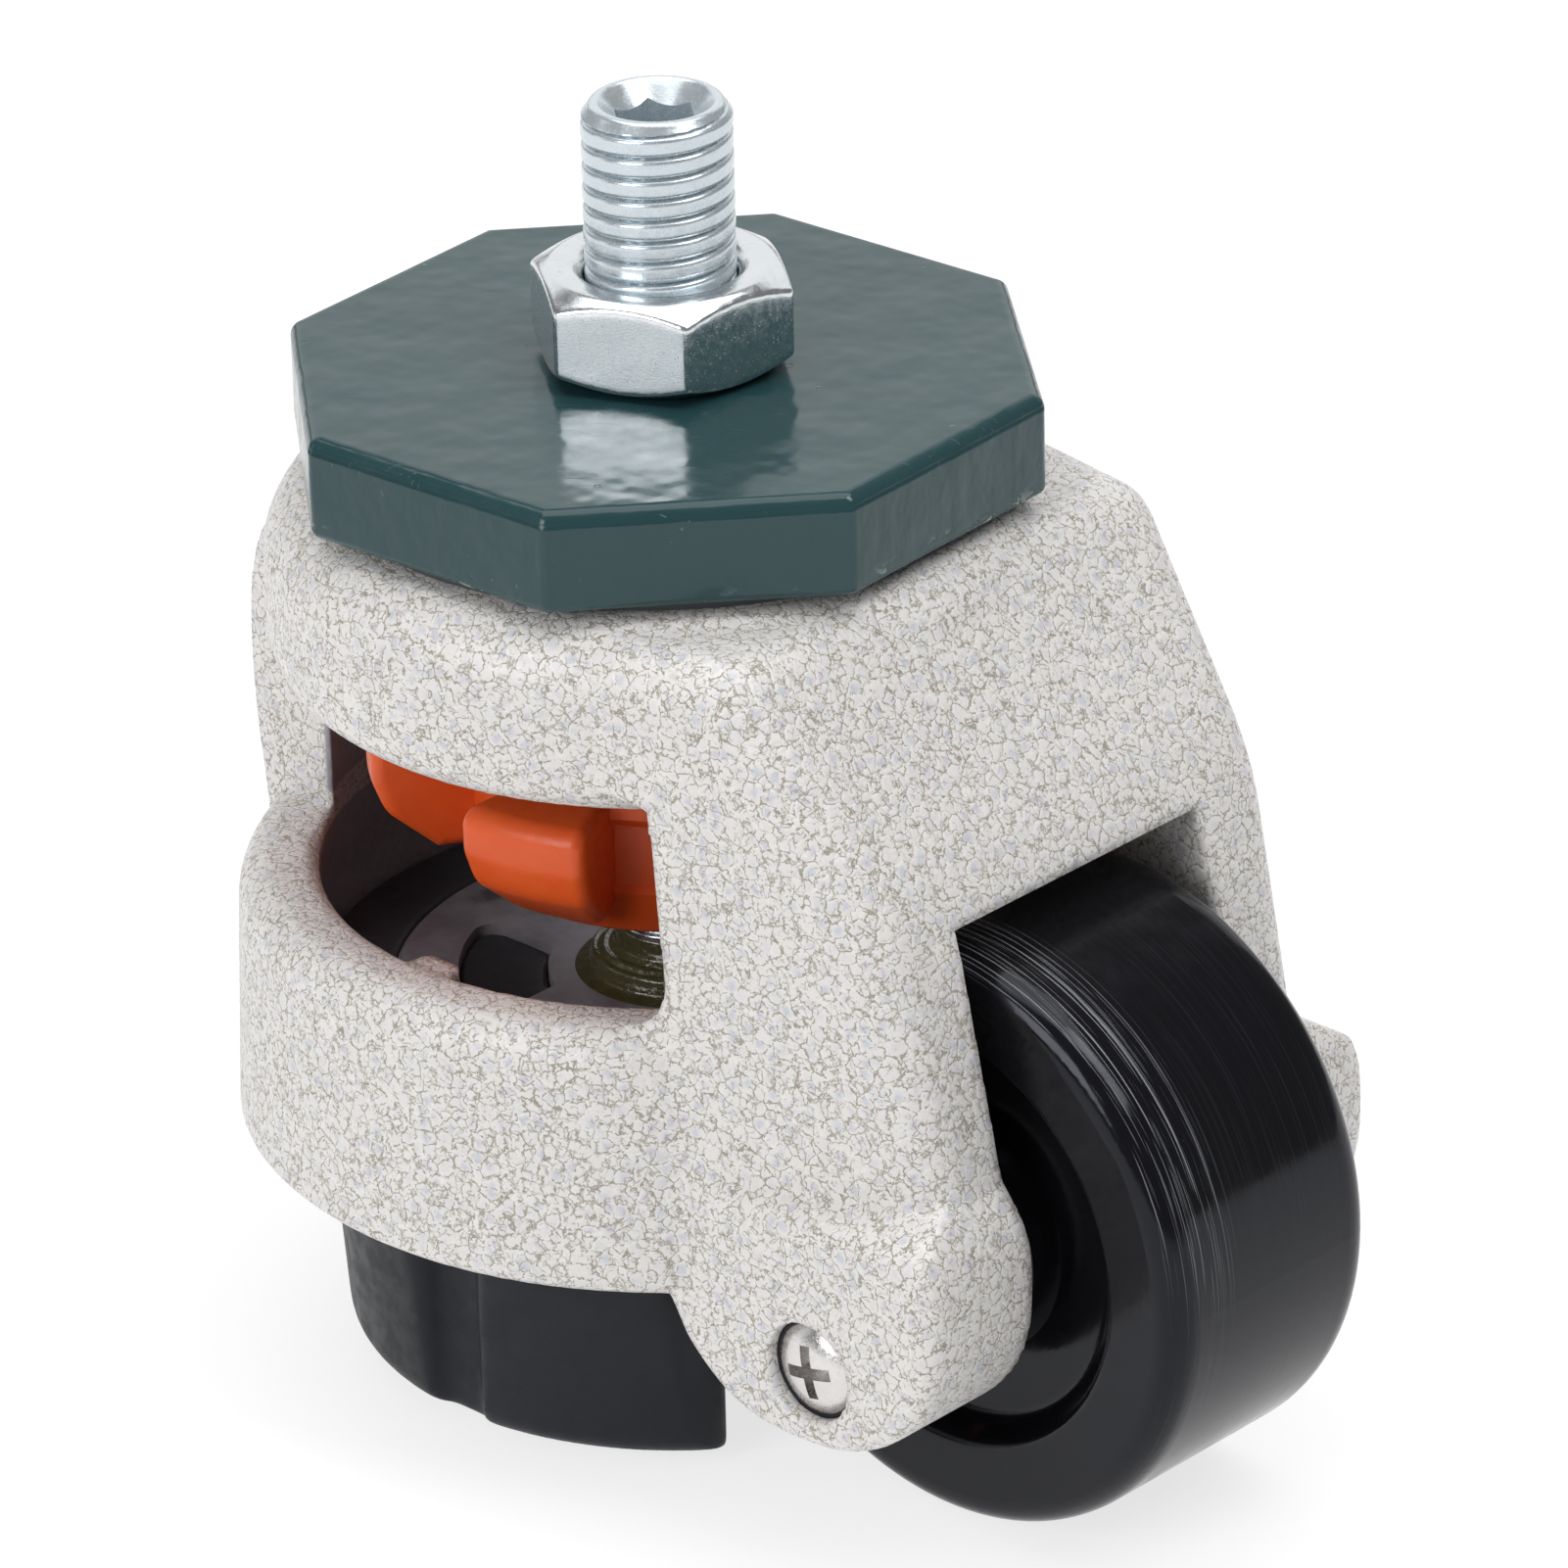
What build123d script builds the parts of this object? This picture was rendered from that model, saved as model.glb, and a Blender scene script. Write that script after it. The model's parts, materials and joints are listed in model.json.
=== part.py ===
from build123d import *
import os
from math import cos, sin, radians, sqrt

# Levelling castor: threaded stem, octagonal swivel plate on a ball race, one-piece
# cast housing with a fork for the wheel, and a screw-driven rubber levelling foot
# turned by a lugged hand wheel inside the housing.
#
# Frame: origin on the swivel axis at the mounting (top) face of the swivel plate, +Z up
# the stem, +X towards the wheel, wheel axle parallel to Y, millimetres.
# Heights are written from the plate's rim line, where its rounded edge meets its sides.
# That line lies rim_drop below the mounting face, so every sketch stands on one of
# three datum planes through it: level, fore_aft (holds the X axis) and across.

os.makedirs("parts", exist_ok=True)

# ---------------------------------------------------------------- driving sizes
rim_drop = 1.0
# stem and jam nut
thread_r = 6.0            # M12 major radius
thread_relief = 0.2       # the length inside the nut at rest is a little thinner
stem_top = 22.7           # stem length above the plate
socket_af = 6.0           # hex socket in the stem's end
socket_depth = 8.0
nut_af = 19.0
nut_h = 8.0
nut_z0 = 1.2              # the nut stands just off the plate

# swivel plate
plate_af = 57.2
plate_low = -7.4          # underside of the plate
plate_turn = -153.7       # polar angle of one corner of the octagon

# swivel ball race
race_r = 21.0             # pitch radius
ball_r = 2.4
ball_count = 22
groove_r = 2.55
race_z = -7.9             # height of the ball centres

# housing
head_top = -8.4           # top face of the housing under the plate
head_r = 32.0
head_low = -23.95         # underside of the round head, top of the windows
ring_top = -41.0          # sill of the windows
ring_low = -63.3
ring_r_top = 35.25
ring_r_low = 35.9
bore_r = 28.6             # chamber of the levelling foot, drafted open downwards
bore_r_mid = 30.1
bore_r_low = 30.6
rib_x = 0.4               # guide ribs for the foot, a little behind the axis
rib_w = 4.2
rib_in = 26.7             # how near to the axis the ribs come
rib_top = -41.5
post_half = 14.0          # half width of the front post
jamb_top = 22.2           # rear jamb of the windows leans a little towards the wheel
jamb_low = 23.3
jamb_round = 4.5
slot_half = 14.0          # wheel slot
slot_roof = -30.0
well_half = 16.0          # outside of the walls that part the wheel slot from the foot
boss_half = 26.0          # half width over the axle bosses

# wheel and axle
axle_x = 38.0
axle_z = -58.7
axle_r = 5.0
wheel_r = 25.0
wheel_half = 11.6
hub_half = 12.1
keeper_x = 37.6           # keeper screw beside the axle pin
keeper_z = -65.3

# screw jack
carrier_z = -24.5         # underside of the steel carrier
hub_top = -25.55          # top of the hand wheel and spindle flange
hub_low = -41.5
lug_count = 6
lug_turn = -76.5
lug_r = 24.55
lug_arc = 26.8            # angle that each lug spans
hub_r = 16.4
screw_r = 5.0             # M10 spindle
screw_end = -76.0
foot_top = -52.0
foot_low = -82.4
foot_r = 29.7             # at the top; the pad is drafted to foot_r_low
foot_r_low = 27.6
foot_plate_r = 22.95
foot_seat = -56.1         # underside of the cast plate
kidney_out = 17.9
kidney_in = 10.65
spoke_w = 9.4
boss_top = -50.3
groove_w = 5.1


level = Plane(origin=(0, 0, -rim_drop), x_dir=(1, 0, 0), z_dir=(0, 0, 1))
fore_aft = Plane(origin=(0, 0, -rim_drop), x_dir=(1, 0, 0), z_dir=(0, -1, 0))
across = Plane(origin=(0, 0, -rim_drop), x_dir=(0, 1, 0), z_dir=(1, 0, 0))


def hexagon_points(af, turn=0.0):
    c = af / sqrt(3)
    return [(c * cos(radians(turn + 60 * k)), c * sin(radians(turn + 60 * k))) for k in range(6)]


# ---------------------------------------------------------------- stem (king pin)
# One turned piece: threaded end with hex socket, shank pressed in the plate,
# journal through the housing and headed lower end.
with BuildPart() as stem:
    with BuildSketch(fore_aft):
        with BuildLine():
            Polyline(
                (0, -18.6), (9.4, -18.6), (10.0, -18.0), (10.0, -16.2), (9.4, -15.6),
                (6.0, -15.6), (6.0, -8.2), (6.5, -7.7), (6.5, rim_drop), (thread_r - thread_relief, rim_drop),
                (thread_r - thread_relief, 9.5), (thread_r, 9.6),
                (thread_r, stem_top - 1.1), (thread_r - 0.55, stem_top - 0.15),
                (thread_r - 0.8, stem_top), (0, stem_top), close=True,
            )
        make_face()
    revolve(axis=Axis.Z)
    with BuildSketch(level.offset(stem_top)):
        Polygon(*hexagon_points(socket_af, 25), align=None)
    extrude(amount=-socket_depth, mode=Mode.SUBTRACT)
    # funnel leading into the socket
    with BuildSketch(fore_aft):
        with BuildLine():
            Polyline((0, stem_top + 0.1), (4.6, stem_top + 0.1), (4.5, stem_top), (3.0, stem_top - 1.1), (0, stem_top - 1.1), close=True)
        make_face()
    revolve(axis=Axis.Z, mode=Mode.SUBTRACT)

# ---------------------------------------------------------------- lock nut
with BuildPart() as lock_nut:
    with BuildSketch(level.offset(nut_z0)):
        Polygon(*hexagon_points(nut_af, 24), align=None)
    extrude(amount=nut_h)
    # 30 degree chamfers on both faces
    with BuildSketch(fore_aft):
        with BuildLine():
            Polyline(
                (0, nut_z0), (8.7, nut_z0), (11.4, nut_z0 + 1.56), (11.4, nut_z0 + nut_h - 1.56),
                (8.7, nut_z0 + nut_h), (0, nut_z0 + nut_h), close=True,
            )
        make_face()
    revolve(axis=Axis.Z, mode=Mode.INTERSECT)
    # bore with countersunk mouths
    with BuildSketch(fore_aft):
        with BuildLine():
            Polyline(
                (0, nut_z0 - 0.1), (7.0, nut_z0 - 0.1), (thread_r + 0.08, nut_z0 + 0.9),
                (thread_r + 0.08, nut_z0 + nut_h - 0.9), (7.1, nut_z0 + nut_h + 0.1), (0, nut_z0 + nut_h + 0.1), close=True,
            )
        make_face()
    revolve(axis=Axis.Z, mode=Mode.SUBTRACT)

# ---------------------------------------------------------------- swivel plate
with BuildPart() as top_plate:
    with BuildSketch(level.offset(plate_low)):
        RegularPolygon(plate_af / 2, 8, major_radius=False, rotation=plate_turn)
    extrude(amount=rim_drop - plate_low)
    fillet(top_plate.edges().filter_by(Axis.Z), radius=1.0)
    fillet(top_plate.edges().group_by(Axis.Z)[-1], radius=1.2)
    fillet(top_plate.edges().group_by(Axis.Z)[0], radius=0.7)
    # bore for the stem's shank
    with BuildSketch(level.offset(rim_drop)):
        Circle(6.5)
    extrude(amount=plate_low - rim_drop, mode=Mode.SUBTRACT)
    # seat of the upper race ring in the underside
    with BuildSketch(level.offset(plate_low)):
        Circle(25.0)
        Circle(17.0, mode=Mode.SUBTRACT)
    extrude(amount=3.2, mode=Mode.SUBTRACT)

# ---------------------------------------------------------------- swivel race
with BuildPart() as upper_race:
    with BuildSketch(level.offset(plate_low)):
        Circle(25.0)
        Circle(17.0, mode=Mode.SUBTRACT)
    extrude(amount=3.2)
    with BuildSketch(fore_aft):
        with Locations((race_r, race_z)):
            Circle(groove_r)
    revolve(axis=Axis.Z, mode=Mode.SUBTRACT)

with BuildPart() as lower_race:
    with BuildSketch(level.offset(head_top)):
        Circle(25.0)
        Circle(17.0, mode=Mode.SUBTRACT)
    extrude(amount=-3.4)
    with BuildSketch(fore_aft):
        with Locations((race_r, race_z)):
            Circle(groove_r)
    revolve(axis=Axis.Z, mode=Mode.SUBTRACT)

with BuildPart() as bearing_balls:
    with Locations(Location((0, 0, race_z - rim_drop))):
        with PolarLocations(race_r, ball_count):
            Sphere(ball_r)

with BuildPart() as ball_cage:
    with BuildSketch(level.offset(race_z - 0.3)):
        Circle(24.2)
        Circle(17.8, mode=Mode.SUBTRACT)
        with PolarLocations(race_r, ball_count):
            Circle(ball_r + 0.12, mode=Mode.SUBTRACT)
    extrude(amount=0.6)

# felt-like rubber dust seal lying on the housing outside the race
with BuildPart() as dust_seal:
    with BuildSketch(level.offset(head_top)):
        Circle(26.9)
        Circle(25.3, mode=Mode.SUBTRACT)
    extrude(amount=0.75)

# ---------------------------------------------------------------- housing
# front post: a curved pillar that joins the head to the ring, bulging a little
with BuildPart() as post_blank:
    with BuildSketch(fore_aft):
        with BuildLine():
            Polyline((20, -14), (20, -46), (35.3, -46))
            Spline(
                (35.3, -46), (35.4, -43.5), (35.9, -38.5), (36.4, -33.0), (36.5, -28.0),
                (36.2, -23.5), (35.0, -18.8), (32.8, -15.4), (30.2, -13.0),
            )
            Polyline((30.2, -13.0), (28.0, -11.8), (20, -14))
        make_face()
    revolve(axis=Axis.Z)
    with BuildSketch(level.offset(-50)):
        with BuildLine():
            Polyline((-60, -post_half), (-15, -post_half), (-15, post_half), (-60, post_half), close=True)
        make_face()
    extrude(amount=45, mode=Mode.INTERSECT)

# upper fork: side walls that taper towards the wheel, shoulder and slanted back
with BuildPart() as fork_blank:
    with BuildSketch(fore_aft):
        with BuildLine():
            Polyline((14, -9.2), (26.8, -9.2))
            Spline((26.8, -9.2), (29.6, -10.3), (31.9, -13.2), tangents=((1, 0), (0.6, -0.8)))
            Polyline((31.9, -13.2), (39.3, -23.3))
            Spline((39.3, -23.3), (41.9, -27.4), (43.5, -31.6), tangents=((0.6, -0.8), (0.26, -1)))
            Polyline((43.5, -31.6), (47.9, -51.6), (47.9, -56), (14, -56), (14, -9.2))
        make_face()
    extrude(amount=32, both=True)
    with BuildSketch(level.offset(-60)):
        with BuildLine():
            Polyline((13, -27.6), (22, -26.1), (52, -21.1), (52, 21.1), (22, 26.1), (13, 27.6), close=True)
        make_face()
    extrude(amount=55, mode=Mode.INTERSECT)
    fillet(
        fork_blank.edges().filter_by(lambda e: abs(e.center().Y) > 20 and e.center().X > 15 and e.center().Z > -56
                                     and not (abs(e.tangent_at(0.5).Z) > 0.999 and e.center().X < 45)),
        radius=4.0,
    )
    # relief over the windows' rear corners, so that the walls run out into the bowl
    with BuildSketch(across.offset(5)):
        with BuildLine():
            Polyline((-21.8, -24.4), (-32, -18.1), (-32, -24.4), close=True)
        make_face()
        mirror(about=Plane.YZ)
    extrude(amount=jamb_top - 5, mode=Mode.SUBTRACT)

# axle bosses: the lower legs, broader than the walls above them
with BuildPart() as boss_blank:
    with BuildSketch(fore_aft):
        with BuildLine():
            Polyline((16, -49.4), (47.2, -49.4))
            Spline((47.2, -49.4), (49.9, -53.2), (50.5, -58.2), tangents=((0.62, -0.78), (0.0, -1)))
            Spline((50.5, -58.2), (48.2, -66.2), (42.2, -71.0), (35.0, -72.1), (28.4, -70.6), (24.3, -67.2),
                   (21.3, -62.4), tangents=((0.0, -1), (-0.55, 0.83)))
            Polyline((21.3, -62.4), (16, -62.4), (16, -49.4))
        make_face()
    extrude(amount=boss_half, both=True)
    chamfer(
        boss_blank.edges().filter_by(lambda e: abs(abs(e.center().Y) - boss_half) < 0.01 and e.center().Z > -50.5),
        length=5.5, length2=3.2,
    )
    fillet(
        boss_blank.edges().filter_by(lambda e: abs(abs(e.center().Y) - boss_half) < 0.01 and e.center().X > 22.5
                                     and e.center().Z < -51.0),
        radius=1.6,
    )

# space of the chamber: a drafted bore less the walls of the wheel's well
with BuildPart() as chamber_blank:
    with BuildSketch(fore_aft):
        with BuildLine():
            Polyline(
                (0, head_low + 0.1), (bore_r, head_low + 0.1), (bore_r, -42.6), (bore_r_mid, -51.0),
                (bore_r_low, ring_low), (bore_r_low, -84), (0, -84), close=True,
            )
        make_face()
    revolve(axis=Axis.Z)
    with BuildSketch(level.offset(head_low + 1)):
        with Locations((33.5, 0)):
            Rectangle(40, 2 * well_half)
    extrude(amount=-70, mode=Mode.SUBTRACT)

# inner lip of the window sills
with BuildPart() as lip_blank:
    with BuildSketch(fore_aft):
        with BuildLine():
            Polyline((27, -42.6), (27, ring_top + 0.5), (30.2, ring_top + 0.5), (30.2, ring_top))
            Spline((30.2, ring_top), (29.1, -41.5), (bore_r, -42.6), tangents=((-1, 0), (0, -1)))
            Line((bore_r, -42.6), (27, -42.6))
        make_face()
    revolve(axis=Axis.Z)
    with BuildSketch(level.offset(-45)):
        with Locations((-4.0, 33.0), (-4.0, -33.0)):
            Rectangle(52, 30)
    extrude(amount=6, mode=Mode.INTERSECT)

with BuildPart() as housing:
    # round head and skirt ring
    with BuildSketch(fore_aft):
        with BuildLine():
            Polyline((0, head_top), (26.8, head_top))
            Spline((26.8, head_top), (29.9, -9.6), (31.7, -12.6), (head_r, -15.5), tangents=((1, -0.05), (0, -1)))
            Spline((head_r, -15.5), (31.95, -19.5), (31.3, -22.4), (29.6, head_low), tangents=((0, -1), (-0.9, -0.4)))
            Polyline((29.6, head_low), (0, head_low), (0, head_top))
        make_face()
    revolve(axis=Axis.Z)
    with BuildSketch(fore_aft):
        with BuildLine():
            Polyline((20, ring_low + 0.0), (ring_r_low - 0.9, ring_low), (ring_r_low, ring_low + 0.9), (ring_r_top, -44.6))
            Spline((ring_r_top, -44.6), (34.5, -42.2), (32.3, ring_top), tangents=((-0.02, 1), (-1, 0.0)))
            Polyline((32.3, ring_top), (20, ring_top), (20, ring_low))
        make_face()
    revolve(axis=Axis.Z)
    add(post_blank.part)
    add(fork_blank.part)
    add(boss_blank.part)
    # side windows, a hand's access to the hand wheel
    with BuildSketch(across.offset(-50)):
        with BuildLine():
            Polyline((-50, head_low), (-post_half, head_low), (-post_half, ring_top + 4))
            RadiusArc((-post_half, ring_top + 4), (-post_half - 4, ring_top), 4)
            Polyline((-post_half - 4, ring_top), (-50, ring_top), (-50, head_low))
        make_face()
        mirror(about=Plane.YZ)
    extrude(amount=60, mode=Mode.SUBTRACT)
    with BuildSketch(fore_aft.offset(-50)):
        with BuildLine():
            Polyline((9.5, ring_top), (9.5, head_low), (jamb_top + 0.15, head_low), (jamb_low, ring_top + jamb_round))
            RadiusArc((jamb_low, ring_top + jamb_round), (jamb_low - jamb_round, ring_top), jamb_round)
            Line((jamb_low - jamb_round, ring_top), (9.5, ring_top))
        make_face()
    extrude(amount=50 - post_half, mode=Mode.SUBTRACT)
    with BuildSketch(fore_aft.offset(50)):
        with BuildLine():
            Polyline((9.5, ring_top), (9.5, head_low), (jamb_top + 0.15, head_low), (jamb_low, ring_top + jamb_round))
            RadiusArc((jamb_low, ring_top + jamb_round), (jamb_low - jamb_round, ring_top), jamb_round)
            Line((jamb_low - jamb_round, ring_top), (9.5, ring_top))
        make_face()
    extrude(amount=-(50 - post_half), mode=Mode.SUBTRACT)
    # lip of the sills, rounded towards the chamber
    add(lip_blank.part, mode=Mode.SUBTRACT)
    # chamber of the levelling foot
    add(chamber_blank.part, mode=Mode.SUBTRACT)
    with BuildSketch(level.offset(head_low + 0.1)):
        Circle(lug_r + 0.8)
    extrude(amount=-18.0, mode=Mode.SUBTRACT)
    # wheel slot between the fork legs
    with BuildSketch(fore_aft):
        with BuildLine():
            Polyline((2, -90), (2, slot_roof), (60, slot_roof), (60, -90), close=True)
        make_face()
    extrude(amount=slot_half, both=True, mode=Mode.SUBTRACT)
    # seat of the carrier disc and pocket of the king pin's head
    with BuildSketch(level.offset(-21.5)):
        Circle(26.0)
    extrude(amount=-4, mode=Mode.SUBTRACT)
    with BuildSketch(level.offset(-14.4)):
        Circle(13.0)
    extrude(amount=-10, mode=Mode.SUBTRACT)
    # bore of the king pin bush
    with BuildSketch(level):
        Circle(8.0)
    extrude(amount=-20, mode=Mode.SUBTRACT)
    # seat of the lower race
    with BuildSketch(level.offset(head_top)):
        Circle(25.0)
        Circle(17.0, mode=Mode.SUBTRACT)
    extrude(amount=-3.4, mode=Mode.SUBTRACT)
    # guide ribs that stop the foot from turning
    with BuildSketch(level.offset(ring_low + 0.6)):
        with Locations((rib_x, -(rib_in + 2.5)), (rib_x, rib_in + 2.5)):
            RectangleRounded(rib_w, 5.0, 1.1)
    extrude(amount=rib_top - (ring_low + 0.6))
    # screw holes of the carrier disc
    with BuildSketch(level.offset(-21.5)):
        with PolarLocations(20.0, 4, start_angle=45):
            Circle(1.5)
    extrude(amount=6.5, mode=Mode.SUBTRACT)
    # axle bore: blind in the near leg, through the far leg
    with BuildSketch(fore_aft.offset(22.0)):
        with Locations((axle_x, axle_z)):
            Circle(axle_r)
    extrude(amount=-60, mode=Mode.SUBTRACT)
    # keeper screw holes: counterbore and tapped hole in each leg
    with BuildSketch(fore_aft.offset(27.0)):
        with Locations((keeper_x, keeper_z)):
            Circle(4.15)
    extrude(amount=-3.6, mode=Mode.SUBTRACT)
    with BuildSketch(fore_aft.offset(25.0)):
        with Locations((keeper_x, keeper_z)):
            Circle(2.0)
    extrude(amount=-8.0, mode=Mode.SUBTRACT)
    with BuildSketch(fore_aft.offset(-27.0)):
        with Locations((keeper_x, keeper_z)):
            Circle(4.15)
    extrude(amount=3.6, mode=Mode.SUBTRACT)
    with BuildSketch(fore_aft.offset(-25.0)):
        with Locations((keeper_x, keeper_z)):
            Circle(2.0)
    extrude(amount=8.0, mode=Mode.SUBTRACT)

# ---------------------------------------------------------------- king pin bush, washer
with BuildPart() as swivel_bush:
    with BuildSketch(level.offset(head_top)):
        Circle(8.0)
        Circle(6.05, mode=Mode.SUBTRACT)
    extrude(amount=-6.0)

with BuildPart() as swivel_washer:
    with BuildSketch(level.offset(-14.5)):
        Circle(11.5)
        Circle(6.0, mode=Mode.SUBTRACT)
    extrude(amount=-1.1)

# ---------------------------------------------------------------- carrier of the screw jack
with BuildPart() as carrier_disc:
    with BuildSketch(level.offset(-21.5)):
        Circle(26.0)
        Circle(4.06, mode=Mode.SUBTRACT)
    extrude(amount=-3.0)
    with BuildSketch(level.offset(-21.5)):
        with PolarLocations(20.0, 4, start_angle=45):
            Circle(1.5)
    extrude(amount=-3.0, mode=Mode.SUBTRACT)
    with BuildSketch(level.offset(carrier_z)) as heads:
        with PolarLocations(20.0, 4, start_angle=45):
            Circle(3.0)
    extrude(amount=1.5, taper=45, mode=Mode.SUBTRACT)

with BuildPart() as carrier_screws:
    with BuildSketch(level.offset(carrier_z)):
        with PolarLocations(20.0, 4, start_angle=45):
            Circle(3.0)
    extrude(amount=1.5, taper=45)
    with BuildSketch(level.offset(carrier_z + 1.0)):
        with PolarLocations(20.0, 4, start_angle=45):
            Circle(1.5)
    extrude(amount=8.0)
    with BuildSketch(level.offset(carrier_z)):
        with PolarLocations(20.0, 4, start_angle=45):
            Rectangle(3.2, 0.7)
            Rectangle(0.7, 3.2)
    extrude(amount=0.9, mode=Mode.SUBTRACT)

with BuildPart() as thrust_washer:
    with BuildSketch(level.offset(carrier_z)):
        Circle(12.0)
        Circle(4.3, mode=Mode.SUBTRACT)
    extrude(amount=-0.9)

# ---------------------------------------------------------------- spindle
with BuildPart() as spindle:
    with BuildSketch(fore_aft):
        with BuildLine():
            Polyline(
                (0, -20.2), (3.7, -20.2), (4.0, -20.5), (4.0, -20.8), (3.2, -20.8), (3.2, -21.4), (4.0, -21.4),
                (4.0, hub_top), (7.6, hub_top), (7.6, -27.6), (screw_r, -27.6),
                (screw_r, screw_end + 1.0), (screw_r - 1.0, screw_end), (0, screw_end), close=True,
            )
        make_face()
    revolve(axis=Axis.Z)
    with BuildSketch(level.offset(-27.6)):
        Polygon(*hexagon_points(12.0, 10), align=None)
    extrude(amount=-12.4)

with BuildPart() as spindle_clip:
    with BuildSketch(level.offset(-20.85)):
        Circle(6.2)
        Circle(3.25, mode=Mode.SUBTRACT)
        with Locations((4, 0)):
            Rectangle(8, 4.6, mode=Mode.SUBTRACT)
    extrude(amount=-0.5)

# ---------------------------------------------------------------- hand wheel
# one lug: a sector with radial flanks, its profile turned through the lug's arc
lug_a = radians(lug_turn - lug_arc / 2)
with BuildPart() as lug:
    with BuildSketch(Plane(origin=(0, 0, -rim_drop), x_dir=(cos(lug_a), sin(lug_a), 0), z_dir=(sin(lug_a), -cos(lug_a), 0))):
        with BuildLine():
            Polyline((12, -39.3), (12, -29.2), (22.95, -29.2))
            RadiusArc((22.95, -29.2), (lug_r, -30.8), 1.6)
            Line((lug_r, -30.8), (lug_r, -32.4))
            Spline((lug_r, -32.4), (24.2, -33.8), (22.9, -36.3), tangents=((0, -1), (-0.76, -0.65)))
            Polyline((22.9, -36.3), (19.4, -39.3), (12, -39.3))
        make_face()
    revolve(axis=Axis.Z, revolution_arc=lug_arc)
    fillet(
        lug.faces().filter_by(lambda f: f.geom_type == GeomType.PLANE and abs(f.normal_at().Z) < 0.01)
        .edges().filter_by(lambda e: (e.center().X ** 2 + e.center().Y ** 2) ** 0.5 > 13),
        radius=1.0,
    )

with BuildPart() as adjusting_wheel:
    with BuildSketch(fore_aft):
        with BuildLine():
            Polyline(
                (0, hub_top), (11.5, hub_top), (12.0, -26.0), (12.0, -29.2), (17.1, -29.2), (17.4, -29.5), (17.4, -31.0),
                (hub_r, -32.0), (hub_r, -37.1), (17.0, -37.6), (16.0, hub_low + 0.3), (15.7, hub_low), (0, hub_low), close=True,
            )
        make_face()
    revolve(axis=Axis.Z)
    with PolarLocations(0, lug_count):
        add(lug.part)
    # moulded over the flange and hexagon of the spindle
    with BuildSketch(level.offset(hub_top)):
        Circle(7.6)
    extrude(amount=-2.05, mode=Mode.SUBTRACT)
    with BuildSketch(level.offset(-27.6)):
        Polygon(*hexagon_points(12.0, 10), align=None)
    extrude(amount=-12.4, mode=Mode.SUBTRACT)
    with BuildSketch(level.offset(-39.0)):
        Circle(screw_r + 0.5)
    extrude(amount=-5, mode=Mode.SUBTRACT)

# ---------------------------------------------------------------- levelling foot
# cast plate with the threaded boss; four kidney windows key it into the rubber
with BuildPart() as foot_plate:
    with BuildSketch(fore_aft):
        with BuildLine():
            Polyline(
                (0, boss_top), (6.5, boss_top), (7.0, boss_top - 0.5), (7.1, foot_top + 0.3), (7.5, foot_top),
                (foot_plate_r - 0.4, foot_top), (foot_plate_r, foot_top - 0.4), (foot_plate_r, foot_seat),
                (9.0, foot_seat), (9.0, -66.0), (0, -66.0), close=True,
            )
        make_face()
    revolve(axis=Axis.Z)
    with BuildSketch(level.offset(foot_top)) as kidneys:
        Circle(kidney_out)
        Circle(kidney_in, mode=Mode.SUBTRACT)
        Rectangle(60, spoke_w, mode=Mode.SUBTRACT)
        Rectangle(spoke_w, 60, mode=Mode.SUBTRACT)
        fillet(kidneys.vertices().filter_by(lambda v: (v.X ** 2 + v.Y ** 2) ** 0.5 > 15), radius=1.6)
        fillet(kidneys.vertices().filter_by(lambda v: 10 < (v.X ** 2 + v.Y ** 2) ** 0.5 < 11), radius=0.6)
    extrude(amount=foot_seat - foot_top, mode=Mode.SUBTRACT)
    # threaded bore
    with BuildSketch(level.offset(boss_top)):
        Circle(screw_r + 0.06)
    extrude(amount=-30, mode=Mode.SUBTRACT)
    # flat that clears the wheel
    with BuildSketch(level.offset(foot_top + 1)):
        with Locations((30.1, 0)):
            Rectangle(40, 80)
    extrude(amount=-10, mode=Mode.SUBTRACT)

# plan of the pad: a C round the wheel's well, its horns rounded, with a groove on each
# side that slides on the housing's rib
with BuildPart() as pad_blank:
    with BuildSketch(level.offset(foot_low - 1)) as pad_plan:
        with BuildLine():
            outline = Polyline((0, 0), (-40, 0), (-40, -40), (14.5, -40), (17.3, -24.6), (19.15, -20.0))
            ThreePointArc((19.15, -20.0), (20.02, -18.6), (20.3, -17.2))
            Polyline((20.3, -17.2), (20.3, -16.9), (19.85, -16.45), (13.0, -16.45))
            RadiusArc((13.0, -16.45), (11.3, -14.75), 1.7)
            Polyline((11.3, -14.75), (11.3, 0), (0, 0))
        make_face()
        mirror(about=Plane.XZ)
        with BuildLine():
            Polyline(
                (rib_x - 1.9, -26.2), (rib_x + 1.9, -26.2), (rib_x + groove_w / 2, -26.9), (rib_x + groove_w / 2 + 0.15, -27.4),
                (rib_x + groove_w / 2 + 0.8, -28.0), (rib_x + 6.0, -29.6), (rib_x + 6.0, -42), (rib_x - 6.0, -42),
                (rib_x - 6.0, -29.6), (rib_x - groove_w / 2 - 0.8, -28.0), (rib_x - groove_w / 2 - 0.15, -27.4),
                (rib_x - groove_w / 2, -26.9), close=True,
            )
        groove = make_face(mode=Mode.SUBTRACT)
        mirror(groove, about=Plane.XZ, mode=Mode.SUBTRACT)
    extrude(amount=40)

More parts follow.
